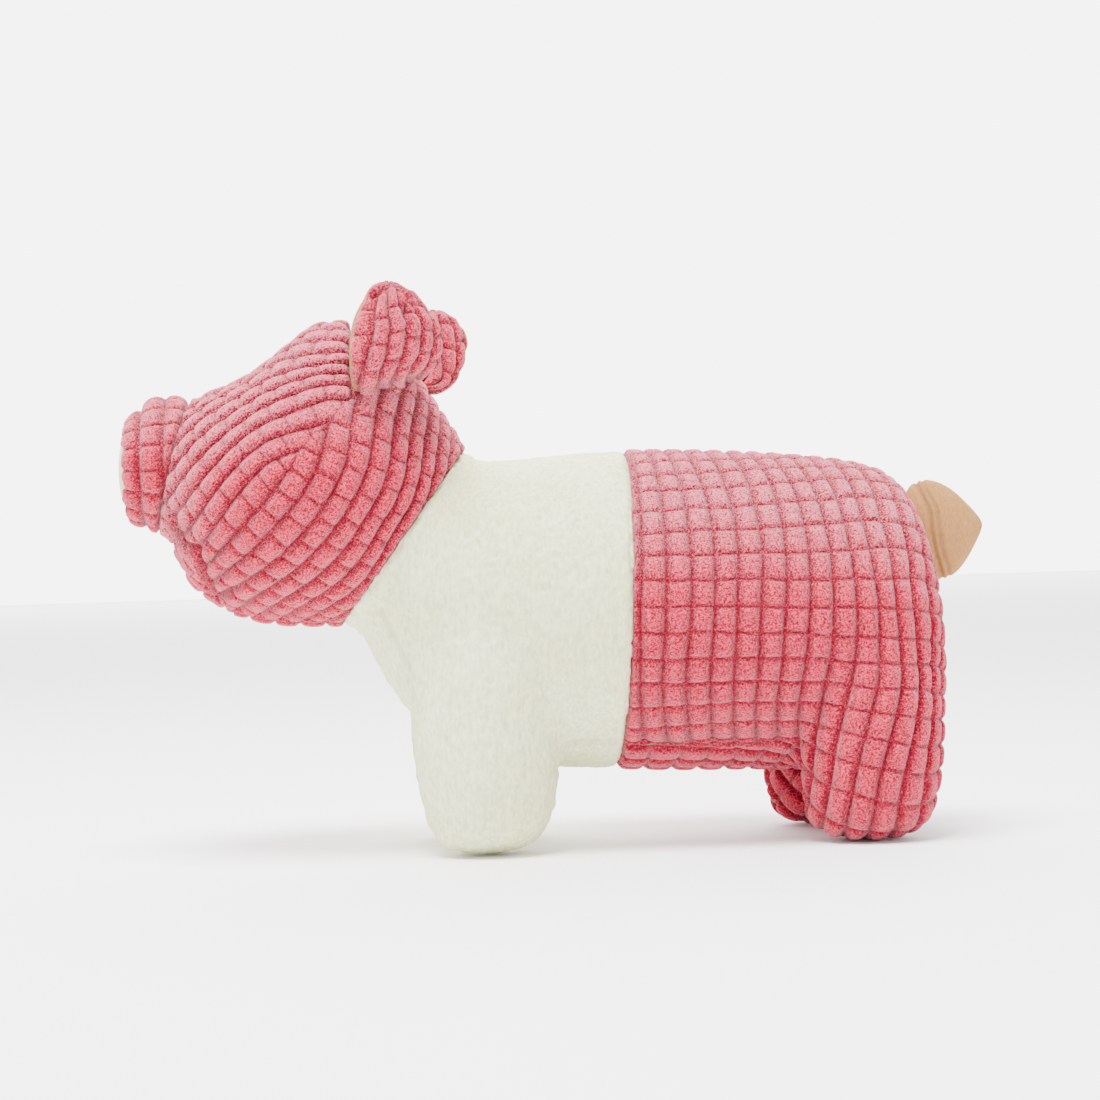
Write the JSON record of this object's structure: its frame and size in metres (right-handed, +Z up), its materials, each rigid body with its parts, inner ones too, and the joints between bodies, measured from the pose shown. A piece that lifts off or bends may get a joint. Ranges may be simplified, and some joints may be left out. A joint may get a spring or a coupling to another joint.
{
  "type": "plush pig",
  "caption": "Stuffed toy pig on four short legs, with a ribbed fabric head and rear, a smooth front section, cupped ears, a round snout and a pointed tail.",
  "frame": {"origin": "on the floor, below the middle of the length and width", "axes": "-X is the way the pig faces, +Z is up, and the pig's left side is at -Y"},
  "size_m": [0.3017, 0.099, 0.1952],
  "materials": {
    "pink_corduroy": "brick corduroy pile",
    "ivory_pile": "short pile",
    "beige_velvet": "short smooth pile",
    "fibre_filling": "loose fibre"
  },
  "bodies": {
    "pig": {"snout_face": "beige_velvet", "snout_band": "pink_corduroy", "left_cheek_panel": "pink_corduroy", "right_cheek_panel": "pink_corduroy", "chin_gusset": "pink_corduroy", "head_filling": "fibre_filling", "left_shoulder_panel": "ivory_pile", "right_shoulder_panel": "ivory_pile", "front_belly_gusset": "ivory_pile", "left_flank_panel": "pink_corduroy", "right_flank_panel": "pink_corduroy", "rear_belly_gusset": "pink_corduroy", "left_front_leg_cover": "ivory_pile", "right_front_leg_cover": "ivory_pile", "left_hind_leg_cover": "pink_corduroy", "right_hind_leg_cover": "pink_corduroy", "body_filling": "fibre_filling"},
    "left_ear": {"left_ear_back": "pink_corduroy", "left_ear_lining": "beige_velvet"},
    "right_ear": {"right_ear_back": "pink_corduroy", "right_ear_lining": "beige_velvet"},
    "tail": {"tail_left_panel": "beige_velvet", "tail_right_panel": "beige_velvet", "tail_filling": "fibre_filling"}
  },
  "joints": [
    {"name": "left_ear_hinge", "type": "hinge", "parent": "pig", "child": "left_ear", "pos_m": [-0.06054, -0.03234, 0.16597], "axis": [0.8652, 0.3192, -0.3867], "range_deg": [-20, 40], "stiffness_Nm_per_rad": 0.02},
    {"name": "right_ear_hinge", "type": "hinge", "parent": "pig", "child": "right_ear", "pos_m": [-0.05118, 0.02639, 0.16061], "axis": [0.692, -0.5096, -0.5112], "range_deg": [-20, 20], "stiffness_Nm_per_rad": 0.02},
    {"name": "tail_hinge", "type": "hinge", "parent": "pig", "child": "tail", "pos_m": [0.12685, 0, 0.10404], "axis": [-0.1397, 0, 0.9902], "range_deg": [-30, 30], "stiffness_Nm_per_rad": 0.02}
  ]
}
